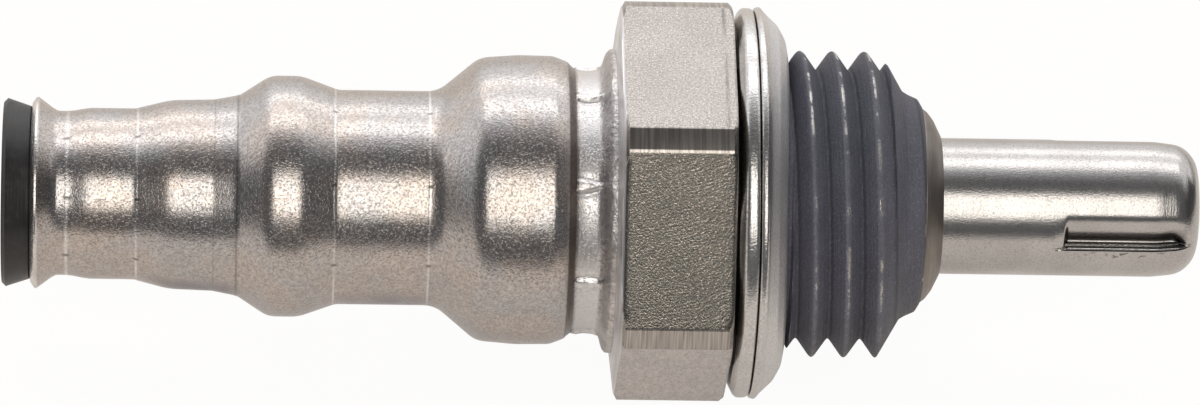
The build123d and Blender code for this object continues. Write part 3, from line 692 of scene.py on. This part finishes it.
def press(stations, above):
    """How far the sheet is pressed in, from the station and the angle above the slit. Across, it
    falls evenly from the slit to the hinge and runs out there in a quadratic bend. Along, it has a
    shallow lead-in and then a steep end, holds, and runs out towards the tip. The edge that was
    pressed in is turned up by a burr, and the other is rounded off."""
    hinge, bend = 1.06, 0.34        # shares of the span: the press's end, and the bend before it
    t = np.clip(hinge - above / LOUVRE_SPAN, 0, None)
    across = np.where(t < bend, t * t / (2 * bend), t - bend / 2) / (hinge - bend / 2)
    along = 0.13 * rise(stations, LOUVRE_REAR - 0.3, LOUVRE_REAR + 0.2)
    along = along + 0.87 * rise(stations, LOUVRE_REAR + 0.14, LOUVRE_REAR + 0.36)
    along = along * (1 - rise(stations, LOUVRE_FRONT - 0.9, LOUVRE_FRONT))
    pressed = PRESS_DEPTH * across - BURR * near(above, 0, 1.6)
    return along * np.where(above < 0, SLIT_EDGE * near(above, -1, 1.0), pressed)


def tube_sheet():
    """Grid of the cup's outside with the columns at each slit doubled: the first of the two lies
    on the plain side, counted as -1, and the second on the pressed side, 0 above the slit."""
    pressed = np.concatenate([np.arange(0, 2, 0.3), np.linspace(2.2, LOUVRE_SPAN + 3, 40)])
    plain = np.linspace(LOUVRE_SPAN + 4, RIM_ANGLE - 1, 26)
    rim = RIM_ANGLE + np.linspace(0, 1, 6)
    above = np.tile(np.concatenate([pressed, plain, rim]), LOUVRES)[None, :]
    first = np.repeat(np.arange(LOUVRES), above.size // LOUVRES) * LOUVRE_TURN + SLIT_ANGLE
    angles = first + above
    above = np.where(above > RIM_ANGLE - 0.5, RIM_ANGLE - above, above)
    x, r = tube_line[:, :1], tube_line[:, 1:]
    return turned(x, np.clip(r - press(x, above), 0, None), angles), above[0] == -1


def settle(piece):
    """Makes a piece's modifiers part of its mesh, and keeps its sharp edges sharp."""
    graph = bpy.context.evaluated_depsgraph_get()
    piece.data = bpy.data.meshes.new_from_object(piece.evaluated_get(graph))
    piece.modifiers.clear()
    piece.data.set_sharp_from_angle(angle=SHARP_ANGLE)
    print(f"{piece.name}: {sum(len(p.vertices) - 2 for p in piece.data.polygons)} triangles")
    return piece


def make_tube():
    """The grid without the faces across the slits, its doubles merged, thickened inwards."""
    points, is_plain_edge = tube_sheet()
    rows, columns = points.shape[:2]
    faces = grid_faces(rows, columns).reshape(rows - 1, columns, 4)[:, ~is_plain_edge]
    piece = add_piece("protection_tube_skin", points.reshape(-1, 3), faces.reshape(-1, 4).tolist())
    sheet = bmesh.new()
    sheet.from_mesh(piece.data)
    bmesh.ops.remove_doubles(sheet, verts=sheet.verts, dist=WELD * MM)
    bmesh.ops.recalc_face_normals(sheet, faces=sheet.faces)
    sheet.to_mesh(piece.data)
    sheet.free()
    wall = piece.modifiers.new("wall", "SOLIDIFY")
    wall.thickness, wall.offset = TUBE_WALL * MM, -1.0
    return settle(piece)


tube = make_tube()

# %% [markdown]
# ## Finishes
# All metals share one recipe: a metallic surface in the steel's colour, a roughness that wanders,
# and a bump. What tells them apart is the bump. Drawn and tumbled sheet has a fine round grain,
# turned parts have lines round the axis, and an as-rolled hexagon bar is pitted. The patterns are
# laid out in millimetres on the sensor itself, so they stay in place from every side.

# %% Recipe shared by the finishes
class Surface(Finish):
    """A material on the sensor, with its coordinates in mm and degrees as wires."""

    def __init__(self, name):
        super().__init__(bpy.data.materials.new(name))
        metres = self.node("ShaderNodeTexCoord", output="Object")
        settings = {"operation": "SCALE"}
        self.spot = self.node("ShaderNodeVectorMath", settings, {0: metres, "Scale": 1 / MM})
        self.x, self.y, self.z = self.parts(self.spot)

    def angle(self):
        """Degrees round the axis, 0 at the front and 90 at the top."""
        return self.z.maths("ARCTAN2", -self.y) * math.degrees(1)

    def radius(self):
        """Distance from the axis in mm."""
        return (self.y * self.y + self.z * self.z).maths("SQRT")

    def noise(self, waves, detail=2.0, contrast=(0.3, 0.7)):
        """Noise from 0 to 1, with so many waves per mm, in all directions or along x, y and z."""
        waves = waves if isinstance(waves, tuple) else (waves, waves, waves)
        settings = {"operation": "MULTIPLY"}
        place = self.node("ShaderNodeVectorMath", settings, {0: self.spot, 1: waves})
        inputs = {"Vector": place, "Scale": 1.0, "Detail": detail}
        raw = self.node("ShaderNodeTexNoise", None, inputs)
        limits = {"Value": raw, "From Min": contrast[0], "From Max": contrast[1]}
        return self.node("ShaderNodeMapRange", {"clamp": True}, limits)

    def blend(self, mask, colour_a, colour_b):
        """Colour a where the mask is 0, colour b where it is 1."""
        inputs = {0: mask, 6: colour_a, 7: colour_b}
        return self.node("ShaderNodeMix", {"data_type": "RGBA"}, inputs, output=2)

    def bump(self, height, size):
        """Normal of a relief: the height times its size in mm."""
        return self.node("ShaderNodeBump", None, {"Height": height, "Distance": size * MM})

    def finish(self, **inputs):
        """The Principled shader that ends the tree. Names have _ for a space."""
        named = {name.replace("_", " "): value for name, value in inputs.items()}
        shader = self.node("ShaderNodeBsdfPrincipled", None, named)
        self.node("ShaderNodeOutputMaterial", None, {"Surface": shader})
        print(f"{self.owner.name}: {len(self.tree.nodes)} nodes")
        return self.owner


trial = Surface("trial")
bpy.data.materials.remove(trial.finish(Metallic=1.0))

# %% [markdown]
# ### Sleeve
# The sleeve was pressed from bright sheet and then handled: warm grey with fine dark pits. Each
# jaw's edge left a line that is broken at the joints between jaws; the lines and the flare's rim
# are painted bright as highlights. A picture mapped onto the sleeve could show this, but bands of
# the station and of the angle put the lines exactly on the profile's bends. The crimp and the
# flange behind it are rubbed pale and ragged by the jaws. Painted shade darkens the notches, a
# bend, the crimp's step and the flange's back, and the underside is painted darker and bluer as a
# reflection of the shaded floor.

# %% Sleeve finish
REAR_JOINT_FIRST = 38.5     # the rear jaws stood at another angle than the front ones
JAW_LINES = (               # station, angle of the first joint, width
    (-11.64, JOINT_FIRST, 0.07), (-15.27, JOINT_FIRST, 0.07),
    (-22.87, REAR_JOINT_FIRST, 0.08), (-25.56, REAR_JOINT_FIRST, 0.11),
)
SCRATCH_STATION, SCRATCH_ANGLE = -24.3, 38.4
# Painted reflection: the underside is painted darker and bluer, as the shaded floor below it.
UNDERSIDE_SHADE_ANGLE = -38.0
UNDERSIDE_SHADE_STATIONS = ((-20.6, 1.0), (-13.3, 0.8))       # station, strength
BARE_STEEL, PIT_GREY, SHADE_AND_SCRATCH_DARK = (0.95, 0.94, 0.95), (0.25, 0.235, 0.23), (0.10, 0.08, 0.07)


def jaw_marks(s):
    """The jaws' edge lines, and the notches that the joints between jaws leave in them."""
    lines, notches = 0.0, 0.0
    for station, first, width in JAW_LINES:
        joint = (s.angle() - first).maths("PINGPONG", JOINT_PITCH / 2)
        lines = s.x.band(station, width) + lines
        notches = s.x.band(station, width * 2.3) * joint.band(0.0, width * 23) + notches
    return lines, notches


def sleeve_sheet(s, cloud):
    """Colour of the sheet as drawn and mottled, with the underside painted darker and bluer as a
    reflection of the shaded floor, before its wear.
    """
    tint = s.noise(0.45, 3.0, (0.4, 0.6))
    sheet = s.blend(tint, (0.73, 0.645, 0.59), (0.65, 0.625, 0.62))
    under = sum(s.x.band(x, 2.6).step(0.0, 0.6) * strength for x, strength in UNDERSIDE_SHADE_STATIONS)
    underside_shade = s.angle().band(UNDERSIDE_SHADE_ANGLE, 24.0) * (0.25 + under * 0.6) * (0.75 + cloud * 0.5)
    sheet = s.blend(underside_shade, sheet, (0.07, 0.07, 0.14))
    mottle = s.noise((4.5, 5.0, 5.0), 4.0, (0.44, 0.64))
    return s.blend(mottle * 0.3, sheet, (0.44, 0.36, 0.31))


def sleeve_steel():
    """Grain all over, with sparse pits that are steep enough to glint. Then, one over the other:
    jaw lines and rim painted bright as highlights, painted shade in the notches and corners, the
    pale crimp and the ragged flange."""
    s = Surface("sleeve_steel")
    grain = s.noise(22.0)
    cloud = s.noise(0.7)
    pits = s.noise(12.0, 2.0, (0.53, 0.68))
    speckle = s.noise(10.0, 2.0, (0.4, 0.6))
    lines, notches = jaw_marks(s)
    steel = sleeve_sheet(s, cloud)
    steel = s.blend(grain * 0.2 + speckle * 0.31 + pits * 0.32, steel, PIT_GREY)
    # Painted highlight: the jaw lines and the flare's rim are painted bright.
    rim = s.x.step(-26.62, -26.7)
    pale_marks = (lines + rim) * (0.2 + cloud * 0.6)
    steel = s.blend(pale_marks.capped(), steel, (0.97, 0.95, 0.93))

    scratch = s.x.band(SCRATCH_STATION, 0.32).step(0.0, 0.3) * s.angle().band(SCRATCH_ANGLE, 0.5)
    # Painted shade: a dark line at the bend where the shoulder begins, with a faint tool line by
    # it.
    bends = s.x.band(-19.02, 0.08) * 0.45 + s.x.band(-19.9, 0.06) * 0.2
    # Painted shade on the steep step before the crimp and on the flange's back face.
    foot = s.x.plateau(-6.36, -6.3, -6.08, -6.0)
    lip = s.x.plateau(-5.0, -4.92, -4.74, -4.7) * (0.5 + cloud * 0.5)
    # Painted shade in the notches and corners, with one real dark scratch.
    dark = (notches * 0.8 + scratch * 0.7 + bends).capped()
    dark = (dark + foot * 0.75 + lip * 0.6).capped()
    colour = s.blend(dark, steel, SHADE_AND_SCRATCH_DARK)

    pressed, flange = s.x.step(-6.02, -5.9), s.x.step(-5.2, -5.0)
    ragged = s.noise((4.0, 5.0, 5.0), 3.0, (0.42, 0.62)) * flange
    colour = s.blend(pressed * (0.62 - flange * 0.25), colour, BARE_STEEL)
    colour = s.blend(ragged * 0.5, colour, (0.34, 0.31, 0.31))
    relief = grain * 0.7 + pits * (1.5 + pressed * 1.5) + lines * 2.0 - notches * 3.0
    return s.finish(
        Base_Color=colour, Metallic=1.0,
        Roughness=0.15 + cloud * 0.05 + grain * 0.05 + pressed * 0.14,
        Normal=s.bump(relief + ragged * 6.0, 0.003),
    )


carry(sleeve, "outer_sleeve", sleeve_steel())

# %% [markdown]
# ### Gasket
# The gasket is bright rolled strip. Noise that is stretched round the axis reads as the lines that
# the folding rolls leave, and costs less than modelling them. The rolls burnished the crowns, so
# the front slope beside them is paler and duller.

# %% Gasket finish
def gasket_steel():
    """Bright strip with fine lines round the axis and a soft grain, and a pale, duller slope."""
    s = Surface("gasket_steel")
    lines = s.noise((16.0, 0.35, 0.35), 3.0)
    rings = s.noise((3.0, 12.0, 12.0), 1.0)
    grain = s.noise(14.0)
    cloud = s.noise(0.8)
    slope = s.x.step(1.16, 1.4)
    strip = s.blend(cloud * 0.3 + grain * 0.7, (0.84, 0.82, 0.805), (0.52, 0.50, 0.49))
    return s.finish(
        Base_Color=s.blend(slope * (0.75 - grain * 0.4), strip, (0.93, 0.92, 0.925)),
        Metallic=1.0, Roughness=0.17 + cloud * 0.08 + slope * 0.3,
        Normal=s.bump(lines * 0.8 + grain * 0.7 + rings * 0.3, 0.0045),
    )


carry(gasket, "sealing_gasket", gasket_steel())

# %% [markdown]
# ### Hexagon
# The flats keep the skin of the rolled bar: dark and pitted on the upper slope, wrinkled on top
# and below, where painted light makes it lighter. The corner strips and the back were turned, so
# they have fine lines.
# Each area could be a material of its own, but height and radius tell them apart in one.

# %% Hexagon finish
def hexagon_flats(s, cloud):
    """Colour of the rolled skin: dark, with painted light making it lighter on top and below, then
    wrinkles, specks, dents and a smudge along the top's front edge, each laid over the last."""
    on_top = s.z.step(APOTHEM - 0.1, APOTHEM - 0.05)
    top, below = on_top * 0.42, s.z.step(-0.4, -0.6)
    skin = s.blend(cloud, (0.32, 0.305, 0.27), (0.235, 0.222, 0.198))
    # Painted light: the flats that face up and down get a lighter copy of the skin.
    painted_light_skin = s.blend(cloud, (0.66, 0.615, 0.60), (0.60, 0.565, 0.56))
    skin = s.blend(top + below, skin, painted_light_skin)
    wrinkles = s.noise((6.0, 7.0, 7.0), 3.0, (0.44, 0.62)) * top
    wrinkles = wrinkles + s.noise((5.5, 2.2, 2.2), 3.0, (0.42, 0.62)) * below
    skin = s.blend(wrinkles * 0.42, skin, (0.36, 0.33, 0.32))
    specks = s.noise((13.0, 14.0, 14.0), 1.0, (0.54, 0.65))
    skin = s.blend(specks * 0.5, skin, (0.80, 0.68, 0.59))
    dents = s.noise((11.0, 12.0, 12.0), 2.0, (0.5, 0.64))
    skin = s.blend(dents * 0.45, skin, (0.22, 0.205, 0.20))
    smudge = s.x.band(-0.4, 0.14) * on_top * s.noise((5.0, 0.5, 0.5), 3.0, (0.4, 0.65))
    return s.blend(smudge * 0.7, skin, (0.12, 0.11, 0.11))


def hexagon_steel():
    """Rolled skin on the flats, and turned steel where the radius or the station says so."""
    s = Surface("hexagon_steel")
    pits = s.noise(14.0, 3.0, (0.34, 0.62))
    cloud = s.noise((0.45, 0.6, 0.6), 3.0)
    lines = s.noise((11.0, 0.4, 0.4), 2.0, (0.35, 0.65))
    back = 1 - s.x.step(HEX_BACK, HEX_BACK + 0.08)
    machined = s.radius().step(CORNER_R - 0.03, CORNER_R - 0.015).maths("MAXIMUM", back)
    corners = s.blend(lines, (0.54, 0.50, 0.46), (0.33, 0.30, 0.28))
    bright = s.blend(back, corners, s.blend(lines, (0.96, 0.95, 0.96), (0.70, 0.69, 0.70)))
    relief = (1 - machined) * (pits * 0.7 + cloud * 0.4) + machined * lines * 0.3
    return s.finish(
        Base_Color=s.blend(machined, hexagon_flats(s, cloud), bright), Metallic=1.0,
        Roughness=0.19 + cloud * 0.06 + back * 0.15, Normal=s.bump(relief, 0.0048),
    )


carry(hexagon, "sensor_shell", hexagon_steel())

# %% [markdown]
# ### Coated thread
# A dark anti-seize paint covers the thread. Handling has rubbed it off along the crests, where the
# bare steel glints in short stretches. The rub mask is the crest distance again, worked out with
# wires, broken up by noise. The paint is matt and slightly grainy.

# %% Thread finish
PAINT, PAINT_DARK, PAINT_WORN = (0.122, 0.124, 0.158), (0.072, 0.073, 0.095), (0.30, 0.30, 0.34)


def coated_thread():
    """Paint over steel. The rub mask is 1 on the crest's front edge where the noise is high, most
    of all on the upper side, which places painted glints where the crests catch the light, and in
    patches at the coating's end. Along the helix, noise of the distance from the crest gives the
    paint its brushed lines."""
    s = Surface("coated_thread")
    place = s.x + (s.angle() * (PITCH / 360) - (CREST_STATION + 0.05))
    crest = place.maths("PINGPONG", PITCH / 2)
    patches = s.noise((0.35, 0.9, 0.9), 3.0, (0.44, 0.6))
    fine = s.noise(12.0, 3.0)
    cloud = s.noise(0.8)
    # Painted glints: rubbed bare steel, weighted to the upper side where the crests catch the
    # light.
    rub_and_glint_side = 0.35 + s.angle().step(-15.0, 30.0) * 0.75
    on_crest = crest.band(0.0, 0.12) * s.radius().step(5.75, 5.9) * rub_and_glint_side
    end_rub = s.x.band(COATING_END, 0.12) * s.noise((1.0, 0.9, 0.9), 2.0, (0.5, 0.6))
    rub = ((on_crest * patches + end_rub) * (0.5 + fine * 0.7)).step(0.28, 0.8)

    inputs = {"W": place * 14.0, "Scale": 1.0, "Detail": 2.0}
    brushed = s.node("ShaderNodeTexNoise", {"noise_dimensions": "1D"}, inputs).step(0.4, 0.62)
    paint = s.blend(cloud * 0.4 + fine * 0.3 + brushed * 0.3, PAINT, PAINT_DARK)
    grit = s.noise(12.0, 1.0, (0.5, 0.64))
    paint = s.blend(grit * 0.45, paint, (0.20, 0.20, 0.245))
    # Painted shade: the thread's roots are darkened.
    in_root = crest.band(PITCH / 2, 0.1)
    paint = s.blend(in_root * 0.6, paint, (0.02, 0.02, 0.024))
    pale_marks = crest.band(0.0, 0.2) * s.radius().step(5.7, 5.9) * (0.1 + fine * 0.6 * patches)
    paint = s.blend(pale_marks, paint, PAINT_WORN)
    return s.finish(
        Base_Color=s.blend(rub, paint, (0.62, 0.60, 0.57)), Metallic=rub,
        Roughness=0.6 - rub * 0.32,
        Normal=s.bump(fine + cloud * 0.3 + brushed * 0.5 - rub * 0.5, 0.011),
    )


carry(thread, "sensor_shell", coated_thread())

# %% [markdown]
# ### Nose and tube
# Past the coating the shell is bare and was rolled over the tube's rim, which browned it. The tube
# is drawn stainless sheet, the smoothest surface of all, so its bump is weakest. The slits are
# darkened inside with painted shade, where hardly any light gets in.

# %% Nose and tube finishes
def nose_steel():
    """Bare steel browned by the rolling tool, with soft lines round the axis."""
    s = Surface("nose_steel")
    lines = s.noise((13.0, 0.4, 0.4))
    cloud = s.noise(0.9)
    colour = s.blend(cloud * 0.6 + lines * 0.4, (0.36, 0.325, 0.30), (0.25, 0.225, 0.205))
    return s.finish(
        Base_Color=colour, Metallic=1.0, Roughness=0.42 + cloud * 0.08,
        Normal=s.bump(lines + cloud * 0.5, 0.005),
    )


def tube_steel():
    """Drawn stainless: smooth, with a faint haze of lines round the axis, tool marks below the
    first louvre, and painted shade deep in each slit, from just above its edge."""
    s = Surface("tube_steel")
    haze = s.noise((7.0, 0.8, 0.8), 3.0)
    fine = s.noise((18.0, 16.0, 16.0))
    cloud = s.noise(0.5)
    specks = s.noise((14.0, 12.0, 12.0), 1.0, (0.55, 0.68))
    marks = s.noise((3.2, 5.0, 5.0), 1.0, (0.6, 0.68))
    marks = marks * s.x.band(15.2, 3.6) * s.angle().band(-1.0, 6.0)
    past_slit = (s.angle() + (360.0 - SLIT_ANGLE)).maths("MODULO", LOUVRE_TURN)
    # Painted shade deep inside each slit.
    deep = s.radius().step(2.42, 2.2) * past_slit.step(0.4, 1.4) * s.x.step(17.75, 17.5)
    steel = s.blend(cloud * 0.3 + fine * 0.45, (0.64, 0.62, 0.605), (0.41, 0.39, 0.38))
    steel = s.blend(specks * 0.3, steel, (0.24, 0.23, 0.22))
    dark = (marks * 0.8 + deep * 0.9).capped()
    return s.finish(
        Base_Color=s.blend(dark, steel, (0.05, 0.045, 0.04)), Metallic=1.0,
        Roughness=0.17 + haze * 0.05 + cloud * 0.04,
        Normal=s.bump(haze * 0.8 + fine * 0.8 - marks * 1.5, 0.003),
    )


carry(nose, "sensor_shell", nose_steel())
carry(tube, "protection_tube", tube_steel())

# %% [markdown]
# ### Grommet and inside
# The grommet's CAD shape is right as it is: a rubber plug with four holes. The parts inside hardly
# show, except through the louvres and the holes, but each has its own material all the same:
# alumina, talc, nickel-plated contacts and plain spring sheet. Their meshes are left alone and
# only given a finish.

# %% Finishes for the CAD's own pieces
def rubber():
    """Black fluoro rubber, moulded and wiped: fine lines round the axis and pale dust."""
    s = Surface("grommet_rubber")
    lines = s.noise((15.0, 0.5, 0.5))
    dust = s.noise(3.0, 4.0, (0.5, 0.75))
    cloud = s.noise(0.6)
    return s.finish(
        Base_Color=s.blend(dust * 0.5 + cloud * 0.25, (0.016, 0.015, 0.016), (0.05, 0.047, 0.048)),
        Roughness=0.32 + cloud * 0.1 + dust * 0.15, Normal=s.bump(lines + dust * 0.5, 0.006),
    )


def ceramic(name, light, dark, roughness):
    """Fired ceramic or pressed powder: fine pores over soft clouds of colour."""
    s = Surface(name)
    pores = s.noise(8.0, 3.0, (0.35, 0.6))
    cloud = s.noise(0.9)
    return s.finish(
        Base_Color=s.blend(cloud * 0.6 + (1 - pores) * 0.4, light, dark),
        Roughness=roughness + cloud * 0.1, Normal=s.bump(pores, 0.008),
    )


def sheet_metal(name, light, dark, roughness):
    """Stamped strip: lines along the rolling direction and a little grain."""
    s = Surface(name)
    lines = s.noise((0.6, 14.0, 14.0))
    grain = s.noise(6.0)
    return s.finish(
        Base_Color=s.blend(lines * 0.4 + grain * 0.4, light, dark), Metallic=1.0,
        Roughness=roughness + grain * 0.1, Normal=s.bump(lines + grain * 0.5, 0.004),
    )


inside = {
    rubber(): ["lead_grommet"],
    ceramic("element_ceramic", (0.80, 0.79, 0.76), (0.66, 0.64, 0.60), 0.35): ["sensor_element"],
    ceramic("insulator_ceramic", (0.78, 0.74, 0.66), (0.66, 0.61, 0.53), 0.45): [
        "front_insulator", "rear_insulator", "upper_contact_holder", "lower_contact_holder",
        "lead_insulator",
    ],
    ceramic("talc", (0.62, 0.62, 0.58), (0.48, 0.47, 0.43), 0.85): ["front_talc", "rear_talc"],
    sheet_metal("inner_sheet", (0.52, 0.50, 0.48), (0.38, 0.36, 0.34), 0.3): [
        "packing_cup", "packing_ring", "holder_ring", "cone_spring",
    ],
    sheet_metal("contact_alloy", (0.66, 0.60, 0.48), (0.50, 0.44, 0.34), 0.25): [
        "signal_contact_a", "signal_contact_b", "heater_contact_a", "heater_contact_b",
    ],
}
for material, nodes in inside.items():
    for node in nodes:
        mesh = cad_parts[node].data
        mesh.materials.clear()
        mesh.materials.append(material)
print("CAD pieces with finishes:", sum(len(nodes) for nodes in inside.values()))
